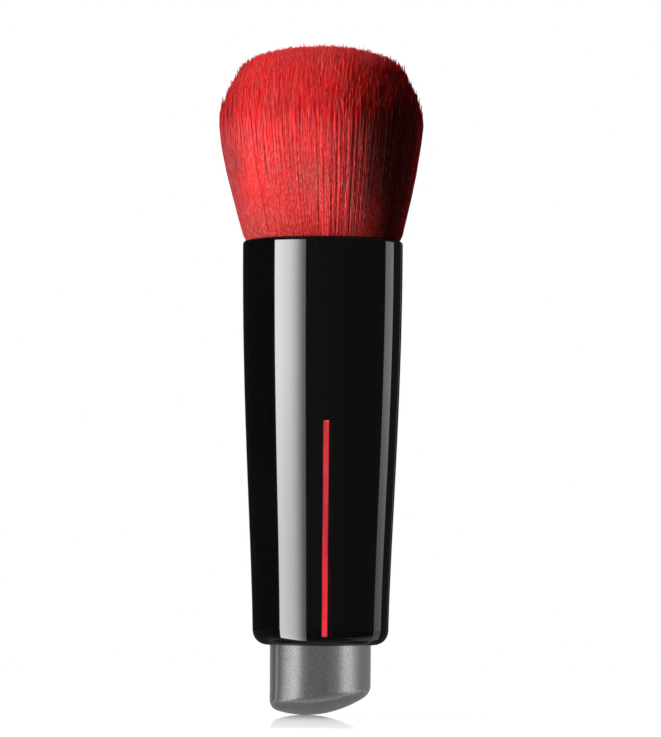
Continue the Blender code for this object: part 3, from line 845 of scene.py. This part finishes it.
def makeBeam():
    b = beam
    data = bpy.data.lights.new("gridStrip", "AREA")
    data.shape = "RECTANGLE"
    data.size, data.size_y = b["size"]
    data.energy = b["watts"]
    data.spread = math.radians(b["spread"])
    lamp = bpy.data.objects.new("gridStrip", data)
    scene.collection.objects.link(lamp)
    across = standAt(b["turn"] + 90, b["aside"])
    target = Vector((0, 0, b["middle"])) + across
    lamp.location = standAt(b["turn"], b["away"], b["middle"] + b["rise"]) + across
    lamp.rotation_euler = (target - lamp.location).to_track_quat("-Z", "Y").to_euler()
    lamp.visible_glossy = False
    linkLight(lamp, "tipBoot", "EXCLUDE")


def makeCamera():
    data = bpy.data.cameras.new("camera")
    data.lens = studio["lens"]
    data.sensor_width = studio["sensor"]
    data.clip_start, data.clip_end = 0.01, 10
    camera = bpy.data.objects.new("camera", data)
    scene.collection.objects.link(camera)
    camera.location = standAt(0, studio["cameraAway"], studio["cameraHeight"])
    aim = (Vector(studio["cameraAim"]) - camera.location).to_track_quat("-Z", "Y")
    camera.rotation_mode = "QUATERNION"
    camera.rotation_quaternion = aim @ Quaternion((0, 0, 1), math.radians(studio["cameraRoll"]))
    scene.camera = camera


# each panel's first and last turn from the camera's line, in degrees
panelTurns = {
    "key": (-72.2, -24),
    "keyLit": (-72.2, -50),       # the part of the key panel that lights the brush
    "top": (-86, -38),
    "crescent": (20, 101.5),
    "strip": (101.5, 122),
    "thin": (152.8, 154.4),
    "back": (148, 198),
    "bowl": (-168, 168),
}
panelLevels = {
    "keyLit": 0.35,               # share of the key panel's strength, as the next one is
    "keyOnTable": 0.95,
    "keyFoot": 0.68,              # share that is left at the key panel's foot
    "top": 5.5,
    "strip": (0.52, 1.6),         # at its foot and at its top
    "stripOnTable": 0.6,
    "thin": 0.45,
    "back": 6.0,
}
# the heights between which a panel grows to its full strength
keyRise = (-60 * mm, 60 * mm)
stripRise = (-25 * mm, 45 * mm)
# turn, then how strong the key panel is there
keyFade = [(24, 2.0), (29, 3.0), (41, 9.8), (47.5, 12.2), (57, 13.6), (64, 14.4), (72.5, 14.2)]
# turn, then how strong the pale crescent under the foot is there
crescent = [(20, 0.1), (45, 0.2), (75, 0.25), (101.5, 0.25)]

# a low bowl of light for the soft tip alone, which stands in for the table and the studio
bowl = {
    "radius": 90 * mm,
    "height": 40 * mm,
    "foot": 0.05 * mm,            # its floor is this far above the table
    "rings": (90 * mm, 60 * mm, 35 * mm, 12 * mm, 1.5 * mm),
    "tipEdge": 12 * mm,
    "tableEnd": 35 * mm,
    "underShare": 0.35,           # brightness that is left right under the tip
    "sides": 168,
}
# turn, then how bright the soft tip's surroundings are there
tent = [
    (-168, 0.4), (-134, 0.25), (-127, 0.1), (-119, 0.2), (-112, 0.8), (-106, 0.15), (-96, 0.4),
    (-80, 1.05), (-61, 1.55), (-52, 1.45), (-38, 0.45), (-24, 0.24), (12, 0.24), (34, 0.38),
    (43, 0.65), (57, 1.45), (72, 1.25), (84, 0.7), (100, 0.4), (168, 0.3),
]
# the same, for the part of the table right by it
nearTip = [(-100, 0.22), (-40, 0.3), (20, 0.32), (60, 0.32), (110, 0.24), (168, 0.18)]


def even(strength):
    return lambda turn, corner: strength


def keyGlow(turn, corner):
    return curveAt(keyFade, abs(turn)) * between(panelLevels["keyFoot"], 1.0, shareOf(corner.z, *keyRise))


def keyShare(share):
    return lambda turn, corner: share * keyGlow(turn, corner)


def stripGlow(turn, corner):
    return between(*panelLevels["strip"], shareOf(corner.z, *stripRise))


def crescentGlow(turn, corner):
    return curveAt(crescent, turn)


def bowlGlow(turn, corner):
    # dim under the tip, then as bright as the table right by it, then as its surroundings
    reach = corner.xy.length
    under = between(bowl["underShare"], 1.0, shareOf(reach, 0, bowl["tipEdge"]))
    outward = shareOf(reach, bowl["tipEdge"], bowl["tableEnd"])
    return between(curveAt(nearTip, turn) * under, curveAt(tent, turn), outward)


def makePanels():
    # the left softbox lights the brush from past 50 degrees; its whole face shows in the lacquer
    high, low = studio["panelHeights"]
    side = [(studio["panelAway"], between(high, low, i / 6)) for i in range(7)]
    above = [(between(*studio["topAway"], i / 3), between(*studio["topHeights"], i / 3)) for i in range(4)]
    makePanel("keyPanel", panelTurns["keyLit"], side, keyShare(panelLevels["keyLit"]),
              lights=True, shines=False)
    makePanel("keyFace", panelTurns["key"], side, keyGlow, without="tipBoot")
    makePanel("topFill", panelTurns["top"], above, even(panelLevels["top"]), lights=True, shines=False)
    makePanel("stripPanel", panelTurns["strip"], side, stripGlow, only="barrelShell")
    makePanel("thinStrip", panelTurns["thin"], side, even(panelLevels["thin"]), only="barrelShell")
    makePanel("backFill", panelTurns["back"], side, even(panelLevels["back"]), lights=True, shines=False)


def makeCards():
    # on the table, what the foot's rounding mirrors: both softboxes' ends and a pale crescent on the right
    fan = [(1 + i / 9, 0) for i in range(10)]
    keyTilts = [(24, 41), (40, 38), (55, 33), (72.5, 27)]
    stripTilts = [(101.5, 40), (122, 36)]
    crescentTilts = [(20, 28), (45, 29), (60, 36), (75, 42), (101.5, 44)]
    crescentFlat = [(20, 27), (45, 26), (75, 24), (101.5, 18)]
    makePanel("keyOnTable", panelTurns["key"], fan, keyShare(panelLevels["keyOnTable"]),
              aim=footFan(keyTilts), only="barrelShell")
    makePanel("stripOnTable", panelTurns["strip"], fan, even(panelLevels["stripOnTable"]),
              aim=footFan(stripTilts), only="barrelShell")
    makePanel("crescentOnTable", panelTurns["crescent"], fan, crescentGlow,
              aim=footFan(crescentTilts, crescentFlat), only="barrelShell")


def makeBowl():
    outline = [(bowl["radius"], bowl["height"])] + [(out, bowl["foot"]) for out in bowl["rings"]]
    makePanel("tipBowl", panelTurns["bowl"], outline, bowlGlow, steps=bowl["sides"], only="tipBoot")


def makeStudio():
    makeWorld()
    makeTable()
    makeWalls()
    makeGlow("softPanel", True)
    makeGlow("glintCard", False)
    makePanels()
    makeBeam()
    makeCards()
    makeBowl()
    makeCamera()
    scene.view_settings.view_transform = "Standard"
    print("studio set up")


makeBarrel()
makeLine()
makeTip()
makeHead()
dressHidden()
makeStudio()
